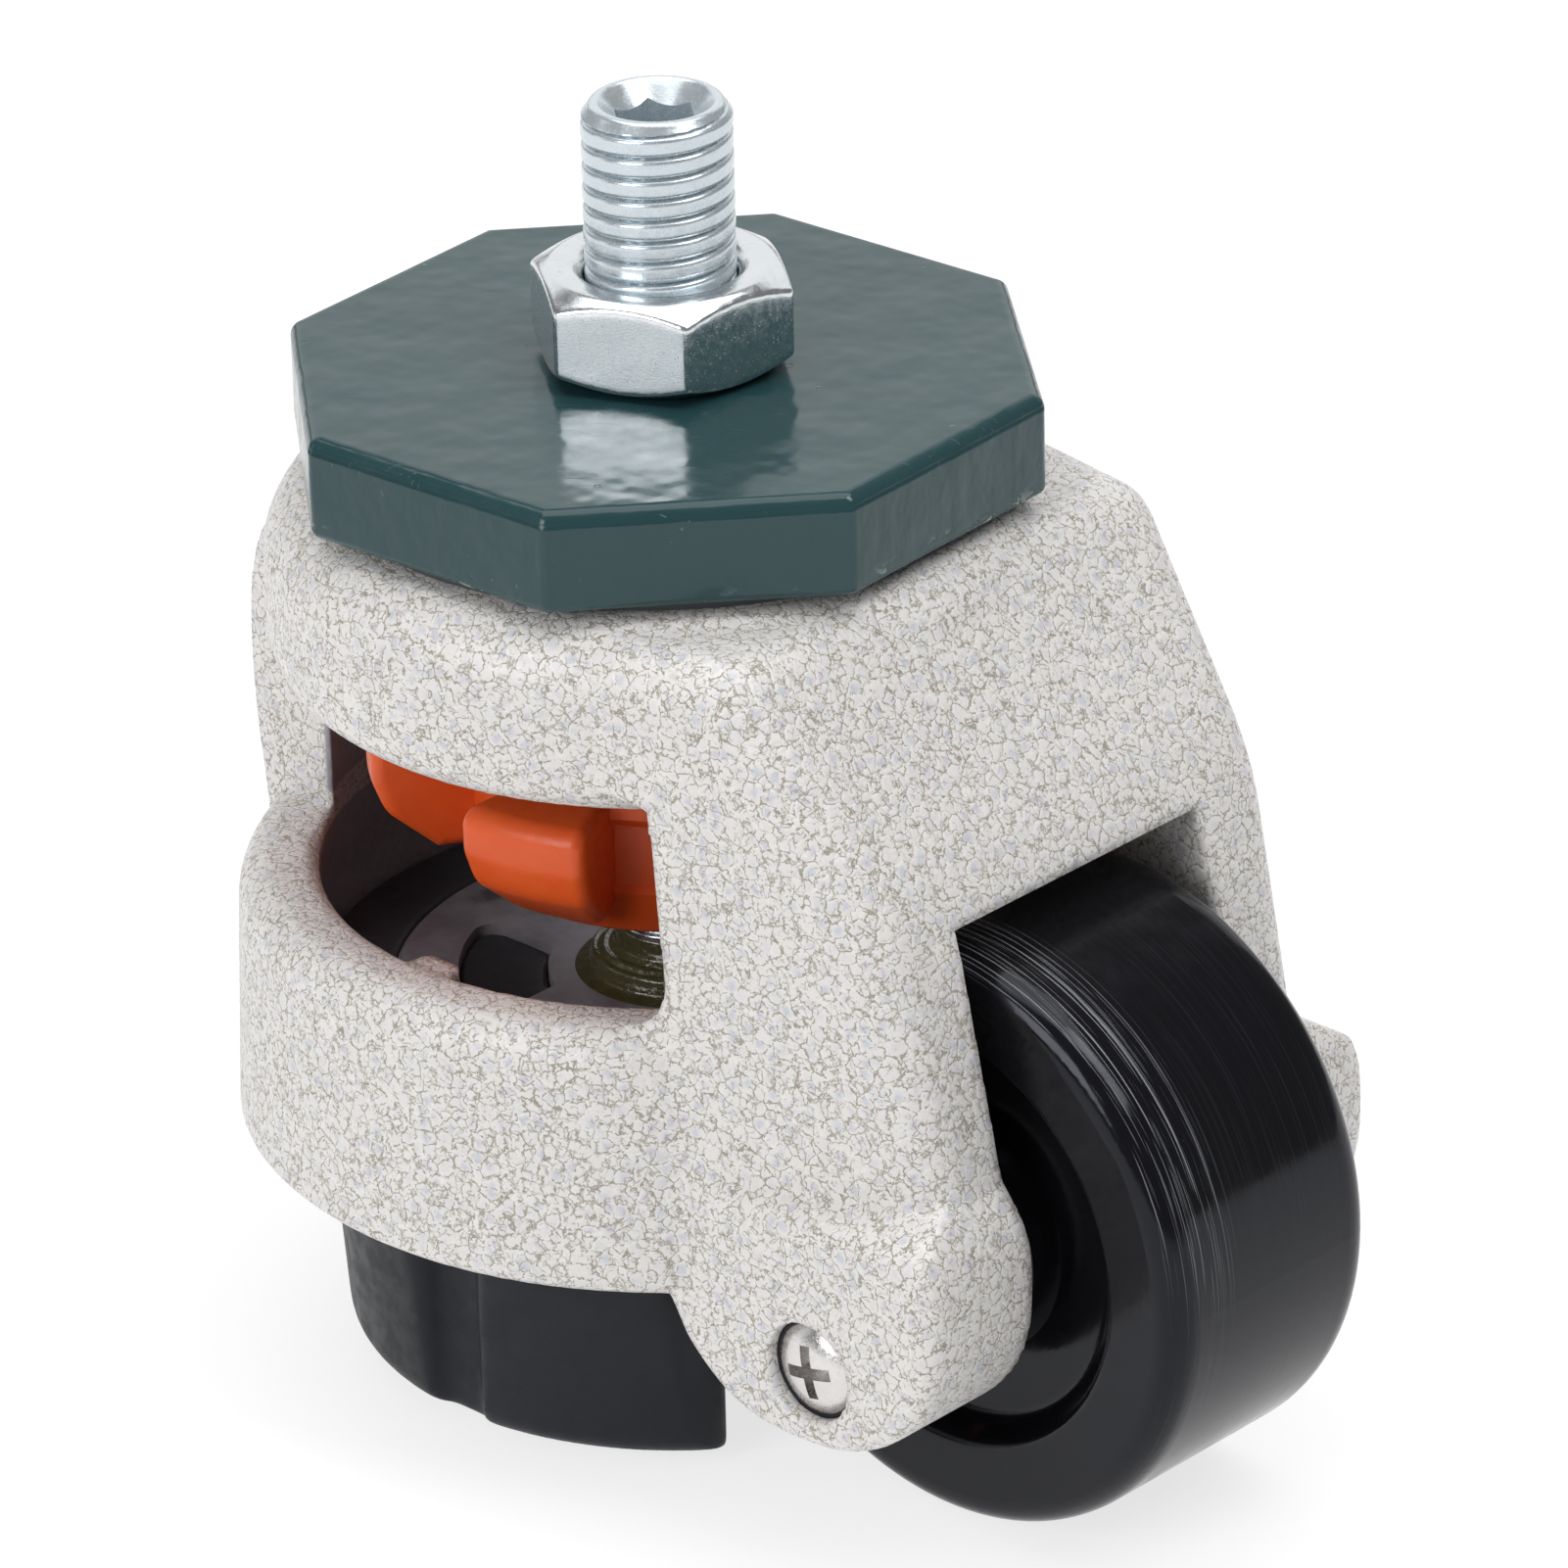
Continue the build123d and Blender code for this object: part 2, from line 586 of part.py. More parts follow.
with BuildPart() as foot_pad:
    with BuildSketch(fore_aft):
        with BuildLine():
            Polyline((0, foot_low), (0, foot_top), (foot_r - 0.8, foot_top), (foot_r, foot_top - 0.8), (foot_r_low + 0.1, foot_low + 1.8))
            Spline((foot_r_low + 0.1, foot_low + 1.8), (foot_r_low - 0.45, foot_low + 0.55), (foot_r_low - 1.8, foot_low), tangents=((-0.07, -1), (-1, 0)))
            Line((foot_r_low - 1.8, foot_low), (0, foot_low))
        make_face()
    revolve(axis=Axis.Z)
    add(pad_blank.part, mode=Mode.INTERSECT)
    # seat of the cast plate, with rubber left standing in its kidney windows
    with BuildSketch(level.offset(foot_top + 1)):
        Circle(foot_plate_r)
    extrude(amount=foot_seat - (foot_top + 1), mode=Mode.SUBTRACT)
    with BuildSketch(level.offset(foot_seat)) as plugs:
        Circle(kidney_out)
        Circle(kidney_in, mode=Mode.SUBTRACT)
        Rectangle(60, spoke_w, mode=Mode.SUBTRACT)
        Rectangle(spoke_w, 60, mode=Mode.SUBTRACT)
        fillet(plugs.vertices().filter_by(lambda v: (v.X ** 2 + v.Y ** 2) ** 0.5 > 15), radius=1.6)
        fillet(plugs.vertices().filter_by(lambda v: 10 < (v.X ** 2 + v.Y ** 2) ** 0.5 < 11), radius=0.6)
        with Locations((30.2, 0)):
            Rectangle(40, 60, mode=Mode.SUBTRACT)
    extrude(amount=3.5)
    with BuildSketch(level.offset(foot_seat)):
        Circle(9.0)
    extrude(amount=-66.0 - foot_seat, mode=Mode.SUBTRACT)
    # well for the spindle's end
    with BuildSketch(level.offset(-66.0)):
        Circle(6.4)
    extrude(amount=-11.5, mode=Mode.SUBTRACT)

# ---------------------------------------------------------------- wheel and axle
wheel_axis = Axis((axle_x, 0, axle_z - rim_drop), (0, 1, 0))
with BuildPart() as wheel:
    with BuildSketch(Plane(origin=(axle_x, 0, axle_z - rim_drop), x_dir=(1, 0, 0), z_dir=(0, 0, 1))):
        with BuildLine():
            # half section in (radius, width) laid out as (x, y), turned about the y axis
            l1 = Polyline((7.0, 0), (7.0, hub_half), (9.6, hub_half), (10.2, hub_half - 0.6), (10.8, 9.0), (15.4, 9.0))
            l2 = Spline((15.4, 9.0), (16.6, 9.6), (17.6, wheel_half - 0.5), (18.4, wheel_half), tangents=((1, 0), (1, 0)))
            l3 = Polyline((18.4, wheel_half), (wheel_r - 2.4, wheel_half))
            l4 = Spline((wheel_r - 2.4, wheel_half), (wheel_r - 0.65, wheel_half - 0.75), (wheel_r, wheel_half - 2.8), tangents=((1, 0), (0, -1)))
            l5 = Polyline((wheel_r, wheel_half - 2.8), (wheel_r, 0), (7.0, 0))
        make_face()
    revolve(axis=wheel_axis)
    mirror(about=Plane.XZ)

with BuildPart() as bush_left:
    with BuildSketch(fore_aft.offset(2.0)):
        with Locations((axle_x, axle_z)):
            Circle(7.0)
            Circle(axle_r + 0.04, mode=Mode.SUBTRACT)
    extrude(amount=hub_half - 2.0)
    with BuildSketch(fore_aft.offset(hub_half)):
        with Locations((axle_x, axle_z)):
            Circle(9.2)
            Circle(axle_r + 0.04, mode=Mode.SUBTRACT)
    extrude(amount=0.9)

with BuildPart() as bush_right:
    with BuildSketch(fore_aft.offset(-2.0)):
        with Locations((axle_x, axle_z)):
            Circle(7.0)
            Circle(axle_r + 0.04, mode=Mode.SUBTRACT)
    extrude(amount=-(hub_half - 2.0))
    with BuildSketch(fore_aft.offset(-hub_half)):
        with Locations((axle_x, axle_z)):
            Circle(9.2)
            Circle(axle_r + 0.04, mode=Mode.SUBTRACT)
    extrude(amount=-0.9)

with BuildPart() as spacer_left:
    with BuildSketch(fore_aft.offset(13.2)):
        with Locations((axle_x, axle_z)):
            Circle(8.2)
            Circle(axle_r, mode=Mode.SUBTRACT)
    extrude(amount=0.8)

with BuildPart() as spacer_right:
    with BuildSketch(fore_aft.offset(-13.2)):
        with Locations((axle_x, axle_z)):
            Circle(8.2)
            Circle(axle_r, mode=Mode.SUBTRACT)
    extrude(amount=-0.8)

# plain pin with a flat under each end, against which the keeper screws bear
with BuildPart() as axle:
    with BuildSketch(fore_aft.offset(21.8)):
        with Locations((axle_x, axle_z)):
            Circle(axle_r)
    extrude(amount=-(21.8 + 25.8))
    chamfer(axle.edges().filter_by(GeomType.CIRCLE), length=0.5)
    with BuildSketch(fore_aft.offset(30)):
        with Locations((axle_x, axle_z - 4.5 - 2.0)):
            Rectangle(12, 4.0)
    extrude(amount=-15, mode=Mode.SUBTRACT)
    with BuildSketch(fore_aft.offset(-30)):
        with Locations((axle_x, axle_z - 4.5 - 2.0)):
            Rectangle(12, 4.0)
    extrude(amount=15, mode=Mode.SUBTRACT)
    # relief for the head of the keeper screw in the open end
    with BuildSketch(fore_aft.offset(-27)):
        with Locations((keeper_x, keeper_z)):
            Circle(4.15)
    extrude(amount=3.6, mode=Mode.SUBTRACT)

# keeper screws: raised heads with a cross recess, sunk in the bosses
with BuildPart() as keeper_screw_left:
    # laid out as (radius, height of the screw) from the inner end of its shank
    with BuildSketch(Plane(origin=(keeper_x, -17.2, keeper_z - rim_drop), x_dir=(1, 0, 0), z_dir=(0, 0, -1))):
        with BuildLine():
            Polyline((0, 8.7), (0, 0), (2.0, 0), (2.0, 6.6), (3.85, 7.6))
            Spline((3.85, 7.6), (2.6, 8.35), (0, 8.7), tangents=((-0.75, 0.65), (-1, 0)))
        make_face()
    revolve(axis=Axis((keeper_x, -17.2, keeper_z - rim_drop), (0, 1, 0)))
    with BuildSketch(Plane(origin=(keeper_x, -26.2, keeper_z - rim_drop), x_dir=(0.9781, 0, 0.2079), z_dir=(0, -1, 0))):
        Rectangle(4.4, 1.0)
        Rectangle(1.0, 4.4)
    extrude(amount=-1.9, mode=Mode.SUBTRACT)
with BuildPart() as keeper_screw_right:
    # laid out as (radius, height of the screw) from the inner end of its shank
    with BuildSketch(Plane(origin=(keeper_x, 17.2, keeper_z - rim_drop), x_dir=(1, 0, 0), z_dir=(0, 0, 1))):
        with BuildLine():
            Polyline((0, 8.7), (0, 0), (2.0, 0), (2.0, 6.6), (3.85, 7.6))
            Spline((3.85, 7.6), (2.6, 8.35), (0, 8.7), tangents=((-0.75, 0.65), (-1, 0)))
        make_face()
    revolve(axis=Axis((keeper_x, 17.2, keeper_z - rim_drop), (0, 1, 0)))
    with BuildSketch(Plane(origin=(keeper_x, 26.2, keeper_z - rim_drop), x_dir=(0.766, 0, 0.6428), z_dir=(0, 1, 0))):
        Rectangle(4.4, 1.0)
        Rectangle(1.0, 4.4)
    extrude(amount=-1.9, mode=Mode.SUBTRACT)

# ---------------------------------------------------------------- write the pieces
stem.part.label = "stem"
export_step(stem.part, "parts/stem.step")
lock_nut.part.label = "lock_nut"
export_step(lock_nut.part, "parts/lock_nut.step")
top_plate.part.label = "top_plate"
export_step(top_plate.part, "parts/top_plate.step")
upper_race.part.label = "upper_race"
export_step(upper_race.part, "parts/upper_race.step")
lower_race.part.label = "lower_race"
export_step(lower_race.part, "parts/lower_race.step")
bearing_balls.part.label = "bearing_balls"
export_step(bearing_balls.part, "parts/bearing_balls.step")
ball_cage.part.label = "ball_cage"
export_step(ball_cage.part, "parts/ball_cage.step")
dust_seal.part.label = "dust_seal"
export_step(dust_seal.part, "parts/dust_seal.step")
housing.part.label = "housing"
export_step(housing.part, "parts/housing.step")
swivel_bush.part.label = "swivel_bush"
export_step(swivel_bush.part, "parts/swivel_bush.step")
swivel_washer.part.label = "swivel_washer"
export_step(swivel_washer.part, "parts/swivel_washer.step")
carrier_disc.part.label = "carrier_disc"
export_step(carrier_disc.part, "parts/carrier_disc.step")
carrier_screws.part.label = "carrier_screws"
export_step(carrier_screws.part, "parts/carrier_screws.step")
thrust_washer.part.label = "thrust_washer"
export_step(thrust_washer.part, "parts/thrust_washer.step")
spindle.part.label = "spindle"
export_step(spindle.part, "parts/spindle.step")
spindle_clip.part.label = "spindle_clip"
export_step(spindle_clip.part, "parts/spindle_clip.step")
adjusting_wheel.part.label = "adjusting_wheel"
export_step(adjusting_wheel.part, "parts/adjusting_wheel.step")
foot_plate.part.label = "foot_plate"
export_step(foot_plate.part, "parts/foot_plate.step")
foot_pad.part.label = "foot_pad"
export_step(foot_pad.part, "parts/foot_pad.step")
wheel.part.label = "wheel"
export_step(wheel.part, "parts/wheel.step")
bush_left.part.label = "bush_left"
export_step(bush_left.part, "parts/bush_left.step")
bush_right.part.label = "bush_right"
export_step(bush_right.part, "parts/bush_right.step")
spacer_left.part.label = "spacer_left"
export_step(spacer_left.part, "parts/spacer_left.step")
spacer_right.part.label = "spacer_right"
export_step(spacer_right.part, "parts/spacer_right.step")
axle.part.label = "axle"
export_step(axle.part, "parts/axle.step")
keeper_screw_left.part.label = "keeper_screw_left"
export_step(keeper_screw_left.part, "parts/keeper_screw_left.step")
keeper_screw_right.part.label = "keeper_screw_right"
export_step(keeper_screw_right.part, "parts/keeper_screw_right.step")
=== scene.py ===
import bpy
import bmesh
import json
import math
from mathutils import Vector, Matrix


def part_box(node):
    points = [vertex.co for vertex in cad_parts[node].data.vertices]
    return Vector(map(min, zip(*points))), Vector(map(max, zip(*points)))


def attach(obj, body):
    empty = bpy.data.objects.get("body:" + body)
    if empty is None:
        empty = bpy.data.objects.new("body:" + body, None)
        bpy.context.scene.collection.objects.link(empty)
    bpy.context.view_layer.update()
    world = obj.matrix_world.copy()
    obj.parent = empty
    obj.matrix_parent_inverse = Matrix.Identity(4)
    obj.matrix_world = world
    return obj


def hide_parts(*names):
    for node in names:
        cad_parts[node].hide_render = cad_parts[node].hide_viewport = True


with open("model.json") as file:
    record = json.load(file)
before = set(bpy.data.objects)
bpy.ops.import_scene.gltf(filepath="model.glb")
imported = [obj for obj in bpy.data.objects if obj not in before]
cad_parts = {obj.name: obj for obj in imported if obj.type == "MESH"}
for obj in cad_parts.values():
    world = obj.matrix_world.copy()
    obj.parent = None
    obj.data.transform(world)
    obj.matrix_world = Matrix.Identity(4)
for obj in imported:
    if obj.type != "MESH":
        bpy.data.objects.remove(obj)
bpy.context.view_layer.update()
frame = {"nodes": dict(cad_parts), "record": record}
nodes = frame["nodes"]
MM = 0.001


# ------------------------------------------------------------------ node helpers
class Shader:
    """A Principled material and short ways to add the nodes that feed it."""

    def __init__(self, name, color=(0.5, 0.5, 0.5), rough=0.5, metal=0.0, **sockets):
        self.mat = bpy.data.materials.new(name)
        self.mat.use_nodes = True
        self.t = self.mat.node_tree
        self.bsdf = self.t.nodes["Principled BSDF"]
        self.set("Base Color", (*color, 1.0))
        self.set("Roughness", rough)
        self.set("Metallic", metal)
        for k, v in sockets.items():
            self.set(k.replace("_", " "), v)
        self._mm = None

    def set(self, socket, value):
        self.bsdf.inputs[socket].default_value = value

    def new(self, kind, **props):
        n = self.t.nodes.new(kind)
        for k, v in props.items():
            setattr(n, k, v)
        return n

    def put(self, socket, value):
        """value is an output socket or a constant."""
        if isinstance(value, bpy.types.NodeSocket):
            self.t.links.new(value, socket)
        else:
            socket.default_value = value

    def mm(self):
        """Object coordinates in millimetres."""
        if self._mm is None:
            tc = self.new("ShaderNodeTexCoord")
            s = self.new("ShaderNodeVectorMath", operation="SCALE")
            self.put(s.inputs[0], tc.outputs["Object"])
            s.inputs["Scale"].default_value = 1000.0
            self._mm = s.outputs[0]
        return self._mm

    def vmath(self, op, a, b=None, scale=None):
        n = self.new("ShaderNodeVectorMath", operation=op)
        self.put(n.inputs[0], a)
        if b is not None:
            self.put(n.inputs[1], b)
        if scale is not None:
            n.inputs["Scale"].default_value = scale
        return n.outputs["Value"] if op in ("LENGTH", "DOT_PRODUCT", "DISTANCE") else n.outputs[0]

    def math(self, op, a, b=0.0, c=0.0, clamp=False):
        n = self.new("ShaderNodeMath", operation=op, use_clamp=clamp)
        self.put(n.inputs[0], a)
        self.put(n.inputs[1], b)
        self.put(n.inputs[2], c)
        return n.outputs[0]

    def sep(self, v):
        n = self.new("ShaderNodeSeparateXYZ")
        self.put(n.inputs[0], v)
        return n.outputs[0], n.outputs[1], n.outputs[2]

    def comb(self, x, y, z):
        n = self.new("ShaderNodeCombineXYZ")
        for i, v in enumerate((x, y, z)):
            self.put(n.inputs[i], v)
        return n.outputs[0]

    def noise(self, vec, scale, detail=2.0, rough=0.5, color=False, distortion=0.0):
        n = self.new("ShaderNodeTexNoise")
        self.put(n.inputs["Vector"], vec)
        n.inputs["Scale"].default_value = scale
        n.inputs["Detail"].default_value = detail
        n.inputs["Roughness"].default_value = rough
        n.inputs["Distortion"].default_value = distortion
        return n.outputs["Color" if color else "Fac"]

    def voronoi(self, vec, scale, feature="F1", out="Distance", randomness=1.0, smooth=None):
        n = self.new("ShaderNodeTexVoronoi", feature=feature)
        self.put(n.inputs["Vector"], vec)
        n.inputs["Scale"].default_value = scale
        n.inputs["Randomness"].default_value = randomness
        if smooth is not None:
            n.inputs["Smoothness"].default_value = smooth
        return n.outputs[out]

    def step(self, v, lo, hi, to0=0.0, to1=1.0, smooth=True):
        n = self.new("ShaderNodeMapRange", interpolation_type="SMOOTHSTEP" if smooth else "LINEAR")
        n.clamp = True
        self.put(n.inputs["Value"], v)
        n.inputs["From Min"].default_value = lo
        n.inputs["From Max"].default_value = hi
        n.inputs["To Min"].default_value = to0
        n.inputs["To Max"].default_value = to1
        return n.outputs[0]

    def mix(self, fac, a, b, blend="MIX"):
        n = self.new("ShaderNodeMix", data_type="RGBA", blend_type=blend)
        self.put(n.inputs[0], fac)
        for s, v in ((n.inputs[6], a), (n.inputs[7], b)):
            if isinstance(v, tuple) and len(v) == 3:
                v = (*v, 1.0)
            self.put(s, v)
        return n.outputs[2]

    def bump(self, height, strength, distance, normal=None):
        n = self.new("ShaderNodeBump")
        n.inputs["Strength"].default_value = strength
        n.inputs["Distance"].default_value = distance
        self.put(n.inputs["Height"], height)
        if normal is not None:
            self.put(n.inputs["Normal"], normal)
        return n.outputs[0]

    def out(self, socket, value):
        self.put(self.bsdf.inputs[socket], value)


# ------------------------------------------------------------------ materials
def hammer_paint():
    s = Shader("hammer_paint", (0.72, 0.71, 0.70), 0.42, Coat_Weight=0.2, Coat_Roughness=0.28)
    p = s.mm()
    w1 = s.vmath("SCALE", s.vmath("SUBTRACT", s.noise(p, 1.3, 2.0, 0.6, color=True), (0.5, 0.5, 0.5)), scale=0.75)
    pw = s.vmath("ADD", p, w1)
    w2 = s.vmath("SCALE", s.vmath("SUBTRACT", s.noise(p, 4.5, 2.0, 0.6, color=True), (0.5, 0.5, 0.5)), scale=0.28)
    pw2 = s.vmath("ADD", pw, w2)
    big = s.voronoi(pw, 0.84, "F1")
    rnd = s.voronoi(pw, 0.84, "F1", "Color")
    edge1 = s.voronoi(pw2, 0.84, "DISTANCE_TO_EDGE")
    edge2 = s.voronoi(s.vmath("ADD", pw2, (31.0, 7.0, 13.0)), 1.35, "DISTANCE_TO_EDGE")
    # thin, broken veins round the cells
    vein1 = s.step(edge1, 0.014, 0.072, 1.0, 0.0)
    vein2 = s.step(edge2, 0.022, 0.095, 1.0, 0.0)
    gate1 = s.step(s.noise(p, 1.5, 3.0, 0.65), 0.40, 0.52)
    gate2 = s.step(s.noise(s.vmath("ADD", p, (17.0, 5.0, 3.0)), 1.1, 3.0, 0.65), 0.46, 0.58)
    vein = s.math("MAXIMUM", s.math("MULTIPLY", vein1, gate1), s.math("MULTIPLY", s.math("MULTIPLY", vein2, gate2), 0.8))
    # cells: faint blue-grey towards the middle of some, nearly white by their rims
    r, g, b = s.sep(rnd)
    cool = s.math("MULTIPLY", s.step(big, 0.12, 0.52, 1.0, 0.0), s.step(r, 0.25, 0.85))
    base = s.mix(s.noise(p, 0.30, 2.0, 0.5), (0.690, 0.672, 0.656), (0.725, 0.702, 0.690))
    cells = s.mix(s.math("MULTIPLY", cool, 0.9), base, (0.525, 0.542, 0.605))
    rim = s.math("MULTIPLY", s.step(edge1, 0.05, 0.20, 1.0, 0.0), s.step(g, 0.3, 0.9, 0.15, 0.6))
    cells = s.mix(rim, cells, (0.80, 0.785, 0.765))
    veins = s.mix(s.noise(p, 2.2, 1.0, 0.5), (0.315, 0.272, 0.205), (0.235, 0.215, 0.182))
    col = s.mix(s.math("MULTIPLY", vein, 0.93), cells, veins)
    # darker grey inside of the chamber
    x, y, z = s.sep(p)
    rad = s.vmath("LENGTH", s.comb(x, y, 0.0))
    inner = s.math("MULTIPLY", s.step(rad, 29.0, 29.35, 1.0, 0.0), s.step(z, -25.3, -24.95, 1.0, 0.0))
    deep = s.math("MULTIPLY", s.step(rad, 30.9, 31.2, 1.0, 0.0), s.step(z, -45.5, -43.0, 1.0, 0.0))
    inner = s.math("MAXIMUM", inner, deep)
    notslot = s.step(s.math("ABSOLUTE", y), 14.1, 14.5)
    front = s.step(x, 15.0, 17.0, 1.0, 0.0)
    inner = s.math("MULTIPLY", inner, s.math("MAXIMUM", notslot, front))
    lip = s.math("MULTIPLY", s.step(rad, 28.4, 28.7), s.step(z, -43.2, -42.9))
    lip = s.math("MULTIPLY", lip, s.step(z, -40.8, -40.4, 1.0, 0.0))
    ribtop = s.math("MULTIPLY", s.step(s.math("ABSOLUTE", s.math("SUBTRACT", x, 0.4)), 2.6, 2.9, 1.0, 0.0), s.step(z, -48.0, -45.0))
    inner = s.math("MULTIPLY", inner, s.math("SUBTRACT", 1.0, s.math("MAXIMUM", ribtop, lip)))
    dark = s.mix(s.noise(p, 1.3, 3.0, 0.6), (0.26, 0.255, 0.29), (0.37, 0.36, 0.40))
    col = s.mix(inner, col, dark)
    s.out("Base Color", col)
    rough = s.math("ADD", s.math("MULTIPLY", vein, 0.25), s.step(s.noise(p, 3.0, 2.0, 0.6), 0.3, 0.7, 0.34, 0.48))
    s.out("Roughness", s.math("MAXIMUM", rough, s.math("MULTIPLY", inner, 0.75)))
    dome = s.math("MULTIPLY", s.step(edge1, 0.0, 0.30), 0.6)
    h = s.math("ADD", dome, s.math("MULTIPLY", s.step(edge2, 0.0, 0.22), 0.22))
    h = s.math("SUBTRACT", h, s.math("MULTIPLY", vein, 0.30))
    h = s.math("ADD", h, s.math("MULTIPLY", s.noise(p, 6.0, 2.0, 0.5), 0.14))
    s.out("Normal", s.bump(h, 0.50, 0.00013))
    return s.mat


def enamel():
    s = Shader("enamel", (0.02, 0.07, 0.065), 0.16, Specular_IOR_Level=0.42)
    p = s.mm()
    col = s.mix(s.noise(p, 0.05, 3.0, 0.55), (0.014, 0.045, 0.050), (0.020, 0.058, 0.064))
    pits = s.voronoi(p, 0.22, "F1")
    keep = s.sep(s.voronoi(p, 0.22, "F1", "Color"))[0]
    pit = s.math("MULTIPLY", s.step(pits, 0.03, 0.07, 1.0, 0.0), s.step(keep, 0.72, 0.78))
    col = s.mix(s.math("MULTIPLY", pit, 0.5), col, (0.20, 0.26, 0.25))
    s.out("Base Color", col)
    # faint wiping scratches
    x, y, z = s.sep(p)
    along = s.math("ADD", s.math("MULTIPLY", x, 0.8), s.math("MULTIPLY", y, 0.6))
    across = s.math("SUBTRACT", s.math("MULTIPLY", x, 0.6), s.math("MULTIPLY", y, 0.8))
    scr = s.noise(s.comb(s.math("MULTIPLY", along, 0.10), s.math("MULTIPLY", across, 3.2), z), 1.0, 2.0, 0.5)
    scr = s.step(scr, 0.68, 0.74)
    s.out("Roughness", s.math("ADD", s.step(s.noise(p, 0.3, 3.0, 0.6), 0.3, 0.75, 0.12, 0.24), s.math("MULTIPLY", scr, 0.2)))
    side = s.step(z, -1.4, -0.9, 1.0, 0.0)
    fine = s.noise(s.comb(s.math("MULTIPLY", along, 0.35), s.math("MULTIPLY", across, 6.0), z), 1.0, 2.0, 0.5)
    hair = s.math("MULTIPLY", s.step(fine, 0.70, 0.735), s.step(s.noise(p, 0.12, 2.0, 0.5), 0.50, 0.60))
    h = s.math("ADD", s.noise(p, 0.16, 2.0, 0.5), s.math("MULTIPLY", pit, -0.25))
    h = s.math("ADD", h, s.math("MULTIPLY", side, s.noise(s.vmath("MULTIPLY", p, (1.0, 1.0, 0.6)), 0.22, 3.0, 0.55)))
    h = s.math("ADD", h, s.math("MULTIPLY", side, s.math("MULTIPLY", s.noise(p, 0.9, 2.0, 0.5), 0.12)))
    h = s.math("SUBTRACT", h, s.math("MULTIPLY", hair, 0.10))
    # knocks along the lower edge: dented enamel, the dents darkened with painted shade, and a few bare spots
    chip = s.noise(s.vmath("MULTIPLY", p, (1.0, 1.0, 1.6)), 0.42, 3.0, 0.6)
    low = s.math("MULTIPLY", s.step(z, -8.2, -6.6, 1.0, 0.0), s.step(s.noise(p, 0.06, 2.0, 0.5), 0.38, 0.48))
    dent_with_painted_shade = s.math("MULTIPLY", s.step(chip, 0.57, 0.60), low)
    bare = s.math("MULTIPLY", s.step(chip, 0.615, 0.635), low)
    h = s.math("SUBTRACT", h, s.math("MULTIPLY", dent_with_painted_shade, 0.25))
    s.out("Normal", s.bump(h, 0.40, 0.0007))
    col = s.mix(s.math("MULTIPLY", hair, 0.35), col, (0.16, 0.21, 0.21))
    # painted shade: the dents are darkened in colour
    col = s.mix(s.math("MULTIPLY", dent_with_painted_shade, 0.6), col, (0.006, 0.030, 0.030))
    s.out("Base Color", s.mix(s.math("MULTIPLY", bare, 0.8), col, (0.33, 0.38, 0.38)))
    return s.mat


def zinc(name="zinc", rough=(0.14, 0.27), metal=1.0, shade=(1.0, 1.0, 1.0)):
    s = Shader(name, (0.78, 0.81, 0.85), 0.25, metal, Anisotropic=0.0)
    p = s.mm()
    x, y, z = s.sep(p)
    col = s.mix(s.noise(p, 0.5, 3.0, 0.6), tuple(a * b for a, b in zip((0.70, 0.745, 0.775), shade)),
                tuple(a * b for a, b in zip((0.79, 0.815, 0.83), shade)))
    stain = s.step(s.noise(s.vmath("ADD", p, (3.0, 9.0, 1.0)), 0.9, 4.0, 0.65), 0.56, 0.72)
    col = s.mix(s.math("MULTIPLY", stain, 0.25), col, (0.50, 0.54, 0.57))
    s.out("Base Color", col)
    specks = s.step(s.noise(p, 4.2, 3.0, 0.75), 0.64, 0.70)
    s.out("Roughness", s.math("ADD", s.step(s.noise(p, 1.4, 4.0, 0.65), 0.30, 0.75, rough[0], rough[1]), s.math("MULTIPLY", specks, 0.25)))
    fine = s.noise(s.comb(s.math("MULTIPLY", x, 1.6), s.math("MULTIPLY", y, 1.6), s.math("MULTIPLY", z, 6.0)), 1.5, 3.0, 0.6)
    h = s.math("ADD", s.math("MULTIPLY", fine, 0.6), s.math("MULTIPLY", s.noise(p, 5.0, 2.0, 0.5), 0.4))
    h = s.math("ADD", h, s.math("MULTIPLY", specks, 1.2))
    s.out("Normal", s.bump(h, 0.20, 0.00005))
    return s.mat


def orange_plastic():
    s = Shader("orange_plastic", (0.70, 0.09, 0.012), 0.40, Subsurface_Weight=0.10, Subsurface_Scale=0.002,
               Coat_Weight=0.05, Coat_Roughness=0.3, Specular_IOR_Level=0.4)
    s.set("Subsurface Radius", (1.0, 0.35, 0.1))
    p = s.mm()
    s.out("Base Color", s.mix(s.noise(p, 0.35, 3.0, 0.6), (0.66, 0.078, 0.009), (0.74, 0.105, 0.016)))
    s.out("Roughness", s.step(s.noise(p, 1.2, 3.0, 0.6), 0.3, 0.7, 0.30, 0.46))
    h = s.math("ADD", s.noise(p, 7.0, 2.0, 0.5), s.math("MULTIPLY", s.noise(p, 0.6, 2.0, 0.5), 1.5))
    s.out("Normal", s.bump(h, 0.18, 0.0001))
    return s.mat


